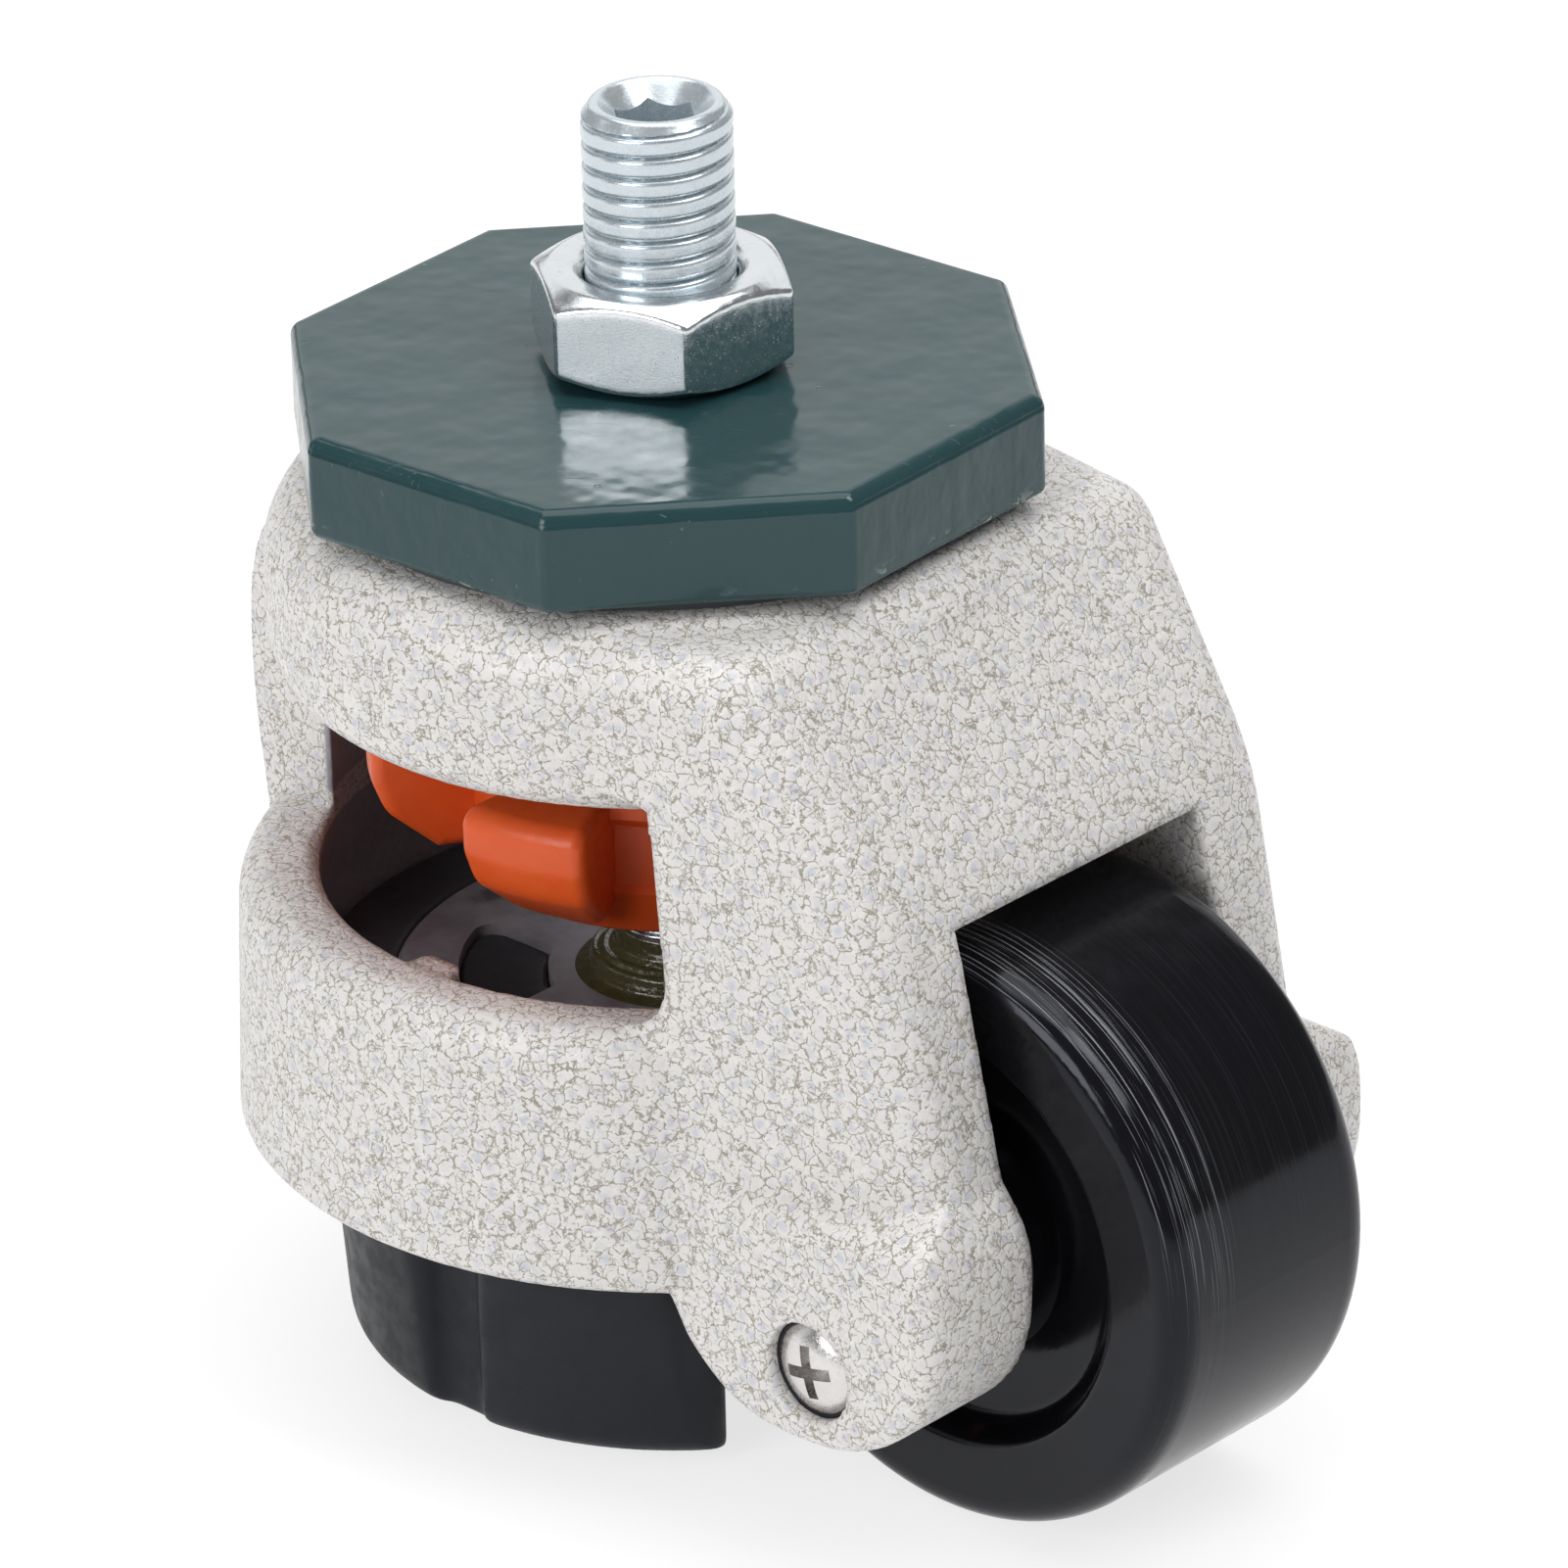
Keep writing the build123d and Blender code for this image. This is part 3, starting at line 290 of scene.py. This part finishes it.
def foot_metal():
    s = Shader("foot_metal", (0.28, 0.27, 0.30), 0.5, 0.2)
    p = s.mm()
    blot = s.noise(p, 0.35, 4.0, 0.65)
    col = s.mix(s.step(blot, 0.35, 0.65), (0.36, 0.345, 0.385), (0.48, 0.465, 0.51))
    scr = s.step(s.noise(s.vmath("MULTIPLY", p, (0.25, 3.0, 1.0)), 1.2, 3.0, 0.6), 0.62, 0.72)
    col = s.mix(s.math("MULTIPLY", scr, 0.4), col, (0.42, 0.41, 0.45))
    # grease smeared round the boss, and a dark patch near the rim
    x, y, z = s.sep(p)
    rad = s.vmath("LENGTH", s.comb(x, y, 0.0))
    smear = s.math("ADD", rad, s.math("MULTIPLY", s.noise(p, 0.45, 3.0, 0.6), 1.6))
    col = s.mix(s.math("MULTIPLY", s.step(smear, 8.6, 9.4, 1.0, 0.0), 0.6), col, (0.10, 0.095, 0.05))
    dark_patch = s.vmath("LENGTH", s.vmath("MULTIPLY", s.vmath("SUBTRACT", p, (-20.0, -1.0, -53.0)), (1.0, 0.55, 0.5)))
    dark_patch = s.math("ADD", dark_patch, s.math("MULTIPLY", s.noise(p, 1.5, 3.0, 0.7), 1.4))
    col = s.mix(s.math("MULTIPLY", s.step(dark_patch, 1.2, 2.3, 1.0, 0.0), 0.7), col, (0.07, 0.066, 0.07))
    s.out("Base Color", col)
    s.out("Roughness", s.step(blot, 0.3, 0.7, 0.34, 0.58))
    s.out("Normal", s.bump(s.math("ADD", blot, s.math("MULTIPLY", s.noise(p, 4.0, 3.0, 0.6), 0.4)), 0.35, 0.00012))
    return s.mat


def rubber(name="foot_rubber"):
    s = Shader(name, (0.02, 0.021, 0.024), 0.5, Specular_IOR_Level=0.22)
    p = s.mm()
    dust = s.step(s.noise(p, 5.0, 4.0, 0.75), 0.66, 0.74)
    col = s.mix(s.noise(p, 0.15, 3.0, 0.6), (0.0075, 0.0088, 0.0120), (0.0140, 0.0155, 0.0205))
    col = s.mix(s.math("MULTIPLY", dust, 0.22), col, (0.11, 0.11, 0.115))
    # painted light: the top, under the hand wheel, is made much lighter to stand in for light in the dim chamber
    z = s.sep(p)[2]
    col = s.mix(s.step(z, -54.6, -53.2, 0.0, 0.85), col, (0.085, 0.088, 0.098))
    s.out("Base Color", col)
    s.out("Roughness", s.step(s.noise(p, 0.6, 3.0, 0.6), 0.3, 0.7, 0.38, 0.54))
    s.out("Normal", s.bump(s.math("ADD", s.noise(p, 6.0, 3.0, 0.6), s.math("MULTIPLY", s.noise(p, 0.3, 2.0, 0.5), 0.6)), 0.18, 0.00008))
    return s.mat


def nylon(centre):
    s = Shader("nylon", (0.006, 0.006, 0.008), 0.14, Specular_IOR_Level=0.28, Specular_Tint=(0.86, 0.89, 1.0, 1.0))
    p = s.mm()
    q = s.vmath("SUBTRACT", p, tuple(c * 1000.0 for c in centre))
    x, y, z = s.sep(q)
    rad = s.vmath("LENGTH", s.comb(x, 0.0, z))
    ang = s.math("ARCTAN2", z, x)
    tread = s.step(rad, 23.6, 24.3)
    # scratches that run round the tread in long arcs, thickest beside the rims
    def arcs(freq, length, lo, hi, seed):
        wob = s.math("MULTIPLY", s.noise(s.comb(ang, seed, 0.0), 1.3, 2.0, 0.5), 0.5)
        v = s.comb(s.math("MULTIPLY", s.math("ADD", y, wob), freq), s.math("MULTIPLY", ang, length), seed)
        return s.step(s.noise(v, 1.0, 2.0, 0.6), lo, hi)
    a1 = arcs(4.5, 0.8, 0.600, 0.625, 1.0)
    a2 = arcs(9.5, 1.4, 0.61, 0.65, 7.0)
    rimside = s.step(s.math("ABSOLUTE", s.math("ADD", y, 8.3)), 1.2, 4.6, 1.0, 0.03)
    worn = s.step(s.math("COSINE", s.math("SUBTRACT", ang, 1.10)), 0.35, 0.85, 0.10, 1.0)
    rimside = s.math("MULTIPLY", rimside, worn)
    scr = s.math("MULTIPLY", s.math("MULTIPLY", s.math("MAXIMUM", a1, s.math("MULTIPLY", a2, 0.8)), tread), rimside)
    specks = s.step(s.noise(p, 3.2, 3.0, 0.8), 0.735, 0.77)
    mark = s.math("MAXIMUM", s.math("MULTIPLY", scr, 0.75), s.math("MULTIPLY", specks, 0.30))
    s.out("Base Color", s.mix(mark, (0.0045, 0.0045, 0.006), (0.30, 0.31, 0.33)))
    s.out("Roughness", s.math("ADD", s.step(s.noise(p, 0.4, 3.0, 0.6), 0.3, 0.8, 0.10, 0.20), s.math("MULTIPLY", mark, 0.45)))
    ringf = s.noise(s.comb(s.math("MULTIPLY", rad, 1.6), s.math("MULTIPLY", y, 1.6), s.math("MULTIPLY", ang, 0.6)), 1.0, 3.0, 0.6)
    h = s.math("ADD", s.math("MULTIPLY", ringf, 0.4), s.math("MULTIPLY", scr, -0.6))
    s.out("Normal", s.bump(h, 0.16, 0.00012))
    return s.mat


def stainless():
    s = Shader("stainless", (0.72, 0.70, 0.68), 0.22, 1.0)
    p = s.mm()
    s.out("Base Color", s.mix(s.noise(p, 0.8, 3.0, 0.6), (0.62, 0.60, 0.59), (0.76, 0.74, 0.73)))
    s.out("Roughness", s.step(s.noise(p, 3.0, 4.0, 0.65), 0.3, 0.75, 0.16, 0.38))
    s.out("Normal", s.bump(s.noise(p, 6.0, 3.0, 0.6), 0.25, 0.00005))
    return s.mat


def grease():
    s = Shader("grease", (0.10, 0.085, 0.02), 0.12, Coat_Weight=0.6, Coat_Roughness=0.04, Specular_IOR_Level=0.6)
    p = s.mm()
    col = s.mix(s.noise(p, 0.7, 3.0, 0.6), (0.060, 0.056, 0.022), (0.150, 0.140, 0.060))
    s.out("Base Color", col)
    s.out("Roughness", s.step(s.noise(p, 1.5, 2.0, 0.5), 0.3, 0.7, 0.08, 0.22))
    s.out("Normal", s.bump(s.noise(p, 1.3, 3.0, 0.6, distortion=0.6), 0.5, 0.0004))
    return s.mat


def plain(name, c0, c1, rough, metal=0.0, scale=1.0):
    s = Shader(name, c0, rough, metal)
    p = s.mm()
    s.out("Base Color", s.mix(s.noise(p, scale, 3.0, 0.6), c0, c1))
    s.out("Roughness", s.step(s.noise(p, scale * 2.0, 3.0, 0.6), 0.3, 0.7, rough * 0.8, rough * 1.25))
    s.out("Normal", s.bump(s.noise(p, scale * 5.0, 3.0, 0.6), 0.2, 0.00008))
    return s.mat


wheel_lo, wheel_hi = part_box("wheel")
wheel_c = (wheel_lo + wheel_hi) / 2
M = {
    "hammer_paint": hammer_paint(),
    "enamel": enamel(),
    "zinc": zinc(),
    "zinc_thread": zinc("zinc_thread", (0.18, 0.32), 0.68, (0.84, 0.885, 0.91)),
    "orange_plastic": orange_plastic(),
    "foot_metal": foot_metal(),
    "foot_rubber": rubber(),
    "seal_rubber": rubber("seal_rubber"),
    "nylon": nylon(wheel_c),
    "stainless": stainless(),
    "grease": grease(),
    "race_steel": plain("race_steel", (0.42, 0.42, 0.44), (0.55, 0.55, 0.57), 0.25, 1.0, 0.8),
    "cage_plastic": plain("cage_plastic", (0.62, 0.58, 0.47), (0.70, 0.66, 0.55), 0.5, 0.0, 0.8),
    "bronze": plain("bronze", (0.42, 0.27, 0.12), (0.55, 0.38, 0.18), 0.4, 1.0, 0.8),
    "bush_plastic": plain("bush_plastic", (0.62, 0.60, 0.54), (0.70, 0.68, 0.62), 0.45, 0.0, 0.8),
}
slot_of = {sp["node"]: sp["material_slot"] for sp in frame["record"]["subparts"]}
for name, o in nodes.items():
    o.data.materials.clear()
    o.data.materials.append(M[slot_of[name]])


# ------------------------------------------------------------------ mesh helpers
def mesh_object(name, verts, faces, material, body, smooth_angle=None):
    me = bpy.data.meshes.new(name)
    me.from_pydata(verts, [], faces)
    me.validate()
    me.update()
    me.materials.append(material)
    for f in me.polygons:
        f.use_smooth = True
    if smooth_angle is not None:
        me.set_sharp_from_angle(angle=math.radians(smooth_angle))
    o = bpy.data.objects.new(name, me)
    bpy.context.scene.collection.objects.link(o)
    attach(o, body)
    return o


def thread_profile(u, depth):
    """Depth below the crest at phase u (0..1) of one pitch: broad rounded crests with a narrow root between."""
    d = min(1.0, abs(u - 0.5) * 2.0 / 0.94)     # 0 at the crest's middle, 1 at the root
    return depth * (1.0 - math.sqrt(max(0.0, 1.0 - d ** 5.0)))


def ring_mesh(rings):
    """Quads between rings of equal length; a ring is a list of points. A ring of one point is a pole."""
    verts, faces, start = [], [], []
    for r in rings:
        start.append(len(verts))
        verts.extend(r)
    for i in range(len(rings) - 1):
        a, b, na, nb = start[i], start[i + 1], len(rings[i]), len(rings[i + 1])
        n = max(na, nb)
        for k in range(n):
            k2 = (k + 1) % n
            if na == 1:
                faces.append((a, b + k2, b + k))
            elif nb == 1:
                faces.append((a + k, a + k2, b))
            else:
                faces.append((a + k, a + k2, b + k2, b + k))
    return verts, faces


def closed_ring(name, rings, material, body):
    """A closed body turned round an axis: the last ring is joined to the first, and the normals face out."""
    verts, faces = ring_mesh(rings)
    n = len(rings[0])
    last = len(verts) - n
    for k in range(n):
        faces.append((last + k, last + (k + 1) % n, (k + 1) % n, k))
    o = mesh_object(name, verts, faces, material, body)
    bm = bmesh.new()
    bm.from_mesh(o.data)
    bmesh.ops.recalc_face_normals(bm, faces=bm.faces)
    bm.to_mesh(o.data)
    bm.free()
    return o


# ------------------------------------------------------------------ stem with a real thread
def build_stem():
    lo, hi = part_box("stem")
    top = hi.z / MM
    pitch, crest, depth, n = 1.75, 5.96, 0.60, 144
    ang = [2 * math.pi * k / n for k in range(n)]
    turn = math.radians(25)
    rings = []

    def circle(r, z):
        return [(r * math.cos(a) * MM, r * math.sin(a) * MM, z * MM) for a in ang]

    def hexa(af, z):
        out = []
        for a in ang:
            b = (a - turn) % (math.pi / 3) - math.pi / 6
            r = af / 2 / math.cos(b)
            out.append((r * math.cos(a) * MM, r * math.sin(a) * MM, z * MM))
        return out

    # socket floor, walls and funnel: a cone that meets the hexagon in six arcs
    flats = [3.0 / math.cos((a - turn) % (math.pi / 3) - math.pi / 6) for a in ang]
    mouth = 4.62

    def wall(k):
        return [(r * math.cos(a) * MM, r * math.sin(a) * MM, (top - 8.0 + k * (8.0 - (mouth - r) * 1.05)) * MM)
                for r, a in zip(flats, ang)]

    def cone(k):
        out = []
        for r, a in zip(flats, ang):
            q = r + (mouth - r) * k
            out.append((q * math.cos(a) * MM, q * math.sin(a) * MM, (top - (mouth - q) * 1.05) * MM))
        return out

    rings.append([(0.0, 0.0, (top - 8.6) * MM)])
    for k in (0.0, 0.25, 0.5, 0.75, 0.97, 1.0):
        rings.append(wall(k))
    for k in (0.04, 0.3, 0.6, 0.9):
        rings.append(cone(k))
    for r, dz in ((mouth + 0.02, 0.01), (4.72, 0.0), (4.90, 0.0), (5.08, 0.05), (5.22, 0.14), (5.32, 0.26)):
        rings.append(circle(r, top - dz))
    # thread from the chamfered end down into the plate
    rows = 26
    z0, z1 = top - 0.36, 0.35
    steps = int((z0 - z1) / pitch * rows)
    for i in range(steps + 1):
        z = z0 + (z1 - z0) * i / steps
        cham = 5.38 + (z0 - z) * 0.75
        ring = []
        for a in ang:
            u = (z / pitch - a / (2 * math.pi)) % 1.0
            r = crest - thread_profile(u, depth)
            fade = min(1.0, max(0.0, (z - 0.5) / 1.5))
            r = crest * (1 - fade) + r * fade
            r = min(r, cham) if cham < crest + 0.01 else r
            ring.append((r * math.cos(a) * MM, r * math.sin(a) * MM, z * MM))
        rings.append(ring)
    for r, z in ((6.0, 0.1), (6.5, 0.0), (6.5, -8.7), (6.0, -9.2), (6.0, -16.6), (9.4, -16.6), (10.0, -17.2),
                 (10.0, -19.0), (9.4, -19.6)):
        rings.append(circle(r, z))
    rings.append([(0.0, 0.0, -19.6 * MM)])
    verts, faces = ring_mesh(rings)
    o = mesh_object("stem_threaded", verts, faces, M["zinc_thread"], "mount", 42)
    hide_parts("stem")
    return o


# ------------------------------------------------------------------ spindle with its thread
def build_spindle():
    lo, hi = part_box("spindle")
    hub_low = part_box("adjusting_wheel")[0].z / MM
    n = 96
    ang = [2 * math.pi * k / n for k in range(n)]

    def circle(r, z):
        return [(r * math.cos(a) * MM, r * math.sin(a) * MM, z * MM) for a in ang]

    top, end = hi.z / MM, lo.z / MM
    rings = [[(0.0, 0.0, top * MM)]]
    for r, z in ((3.6, top), (4.0, top - 0.4), (4.0, top - 0.6), (3.2, top - 0.6), (3.2, top - 1.2), (4.0, top - 1.2),
                 (4.0, -26.6), (7.5, -26.6), (7.5, -28.55), (4.9, -28.6), (4.9, hub_low + 1.0)):
        rings.append(circle(r, z))
    pitch, crest, depth, rows = 1.5, 4.95, 0.60, 16
    z0, z1 = hub_low + 1.0, end + 1.0
    steps = int((z0 - z1) / pitch * rows)
    for i in range(1, steps + 1):
        z = z0 + (z1 - z0) * i / steps
        ring = []
        for a in ang:
            u = (z / pitch - a / (2 * math.pi)) % 1.0
            r = crest - thread_profile(u, depth)
            ring.append((r * math.cos(a) * MM, r * math.sin(a) * MM, z * MM))
        rings.append(ring)
    rings.append(circle(4.0, end))
    rings.append([(0.0, 0.0, end * MM)])
    rings.reverse()
    verts, faces = ring_mesh(rings)
    o = mesh_object("spindle_threaded", verts, faces, M["zinc"], "adjuster", 42)
    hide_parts("spindle")
    return o


# ------------------------------------------------------------------ greased boss of the foot plate
def build_grease():
    n = 120
    ang = [2 * math.pi * k / n for k in range(n)]
    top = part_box("foot_plate")[1].z / MM
    # radius and height over the boss: a collar on the thread, ridges left by turning, a skirt
    prof = [(4.30, 2.55, 0.0), (4.98, 2.45, 0.1), (5.12, 2.25, 0.6), (5.22, 1.80, 0.8), (5.12, 1.45, 0.8), (5.30, 1.05, 0.9),
            (5.24, 0.72, 0.9), (5.55, 0.46, 1.0), (5.72, 0.16, 1.0), (5.98, 0.30, 1.0), (6.22, 0.34, 1.0), (6.40, 0.06, 1.0),
            (6.62, 0.02, 1.0), (6.85, 0.12, 0.9), (7.10, -0.08, 0.8), (7.22, -0.38, 0.7), (7.16, -0.66, 0.7), (7.34, -0.92, 0.7),
            (7.30, -1.16, 0.6), (7.50, -1.40, 0.6), (7.90, -1.56, 0.4), (8.35, -1.66, 0.2), (8.70, -1.78, 0.1),
            (8.40, -2.30, 0.0), (4.40, -2.30, 0.0)]
    rings = []
    for i, (r, dz, k) in enumerate(prof):
        ring = []
        for a in ang:
            rr = r + k * (0.09 * math.sin(2 * a + 0.5 * i) + 0.05 * math.sin(5 * a - 0.9 * i))
            zz = top + dz + k * (0.07 * math.sin(3 * a + 0.7 * i) + 0.10 * math.sin(a - 0.4 * i))
            if i < 2:
                rr = r
            ring.append((rr * math.cos(a) * MM, rr * math.sin(a) * MM, zz * MM))
        rings.append(ring)
    o = closed_ring("grease_on_boss", rings, M["grease"], "foot")
    sub = o.modifiers.new("round", "SUBSURF")
    sub.levels = 1
    sub.render_levels = 1
    return o


# ------------------------------------------------------------------ painted shadow: a dark ring in the gap round each keeper screw's head
def build_gap_shadow(name):
    lo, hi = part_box(name)
    side = -1.0 if (lo.y + hi.y) < 0 else 1.0
    cx, cz = (lo.x + hi.x) / 2, (lo.z + hi.z) / 2
    face = (lo.y if side < 0 else hi.y) - side * 1.0 * MM
    n = 96
    rings = []
    for r, deep in ((3.70, 0.0), (4.22, 0.0), (4.22, 0.4), (3.70, 0.4)):
        y = face - side * deep * MM
        rings.append([(cx + r * MM * math.cos(2 * math.pi * k / n), y, cz + r * MM * math.sin(2 * math.pi * k / n))
                      for k in range(n)])
    # the ring borrows the dark rubber material only to paint the shadow in the gap
    return closed_ring(name + "_gap", rings, M["seal_rubber"], "housing")


build_stem()
build_spindle()
build_grease()
build_gap_shadow("keeper_screw_left")
build_gap_shadow("keeper_screw_right")

# ------------------------------------------------------------------ soft cast look of the housing
hs = nodes["housing"]
rm = hs.modifiers.new("cast_skin", "REMESH")
rm.mode = "SHARP"
rm.octree_depth = 7
rm.scale = 0.93
rm.sharpness = 1.0
rm.use_remove_disconnected = False
rm.use_smooth_shade = True
sm = hs.modifiers.new("cast_round", "SMOOTH")
sm.factor = 0.5
sm.iterations = 2

for name, depth, times in (("lock_nut", 7, 24), ("foot_pad", 7, 15)):
    rm = nodes[name].modifiers.new("skin", "REMESH")
    rm.mode = "SHARP"
    rm.octree_depth = depth
    rm.scale = 0.95
    rm.sharpness = 1.0
    rm.use_remove_disconnected = False
    rm.use_smooth_shade = True
    sm = nodes[name].modifiers.new("round", "SMOOTH")
    sm.factor = 0.5
    sm.iterations = times

for name, width in (("keeper_screw_left", 0.00010), ("keeper_screw_right", 0.00010),
                    ("adjusting_wheel", 0.0)):
    if width:
        b = nodes[name].modifiers.new("edge", "BEVEL")
        b.width = width
        b.segments = 3
        b.limit_method = "ANGLE"
        b.angle_limit = math.radians(28)
        b.harden_normals = False

# ------------------------------------------------------------------ stage
floor_z = min(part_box("wheel")[0].z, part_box("foot_pad")[0].z)


def area(name, loc, target, size, size_y, energy, color=(1, 1, 1)):
    l = bpy.data.lights.new(name, "AREA")
    l.shape = "RECTANGLE"
    l.size, l.size_y = size, size_y
    l.energy = energy
    l.color = color
    o = bpy.data.objects.new(name, l)
    bpy.context.scene.collection.objects.link(o)
    o.location = loc
    o.rotation_euler = (Vector(target) - Vector(loc)).to_track_quat("-Z", "Y").to_euler()
    return o


bm = bmesh.new()
bmesh.ops.create_grid(bm, x_segments=1, y_segments=1, size=3.0)
me = bpy.data.meshes.new("floor")
bm.to_mesh(me)
bm.free()
floor = bpy.data.objects.new("floor", me)
floor.location = (0, 0, floor_z)
bpy.context.scene.collection.objects.link(floor)
fs = Shader("floor_white", (0.30, 0.30, 0.30), 0.8)
fs.set("Emission Color", (1, 1, 1, 1))
fs.set("Emission Strength", 0.75)
fs.set("Specular IOR Level", 0.2)
me.materials.append(fs.mat)

# the camera's azimuth in the row frame is about 43.5 degrees
az, el, roll = math.radians(43.524), math.radians(25.882), math.radians(-1.312)
right = Vector((math.cos(az), math.sin(az), 0))
back = Vector((math.sin(az) * math.cos(el), -math.cos(az) * math.cos(el), math.sin(el)))
up = back.cross(right)
r2 = math.cos(roll) * right + math.sin(roll) * up
u2 = -math.sin(roll) * right + math.cos(roll) * up
rot = Matrix((r2, u2, back))
place = -(rot.transposed() @ Vector((-9.542, 32.457, -782.854))) - Vector((0, 0, 1.0))
cam = bpy.data.cameras.new("camera")
cam.sensor_width = 36.0
cam.lens = 10209.7 / 1601 * 36.0
cam.clip_start, cam.clip_end = 0.05, 20.0
cam.shift_x = -(802.05 - 800.5) / 1601
cam.shift_y = (799.46 - 800.5) / 1601
cam_o = bpy.data.objects.new("camera", cam)
bpy.context.scene.collection.objects.link(cam_o)
m = rot.transposed().to_4x4()
m.translation = place * MM
cam_o.matrix_world = m
bpy.context.scene.camera = cam_o

mid = Vector((0.008, 0, -0.035))
hr = Vector((right.x, right.y, 0))          # to the camera's right
hb = Vector((back.x, back.y, 0)).normalized()   # towards the camera
hu = Vector((0, 0, 1))
area("key", mid - hr * 0.60 + hb * 0.62 + hu * 0.38, mid, 0.47, 0.47, 3.7)
area("top", mid + hu * 0.75 - hb * 0.05, mid, 0.9, 0.7, 4.2)
area("right", mid + hr * 0.55 + hb * 0.30 + hu * 0.95, mid, 0.45, 0.60, 4.2)
area("left", mid - hr * 0.85 - hb * 0.10 + hu * 0.15, mid, 0.3, 0.7, 0.4)
area("back", mid - hb * 1.25 + hu * 0.62, mid, 2.2, 1.0, 5.6)

world = bpy.data.worlds.new("studio")
world.use_nodes = True
bg = world.node_tree.nodes["Background"]
bg.inputs[0].default_value = (1.0, 1.0, 1.0, 1.0)
bg.inputs[1].default_value = 0.20
bpy.context.scene.world = world
bpy.context.scene.view_settings.view_transform = "Standard"
bpy.context.scene.view_settings.look = "None"
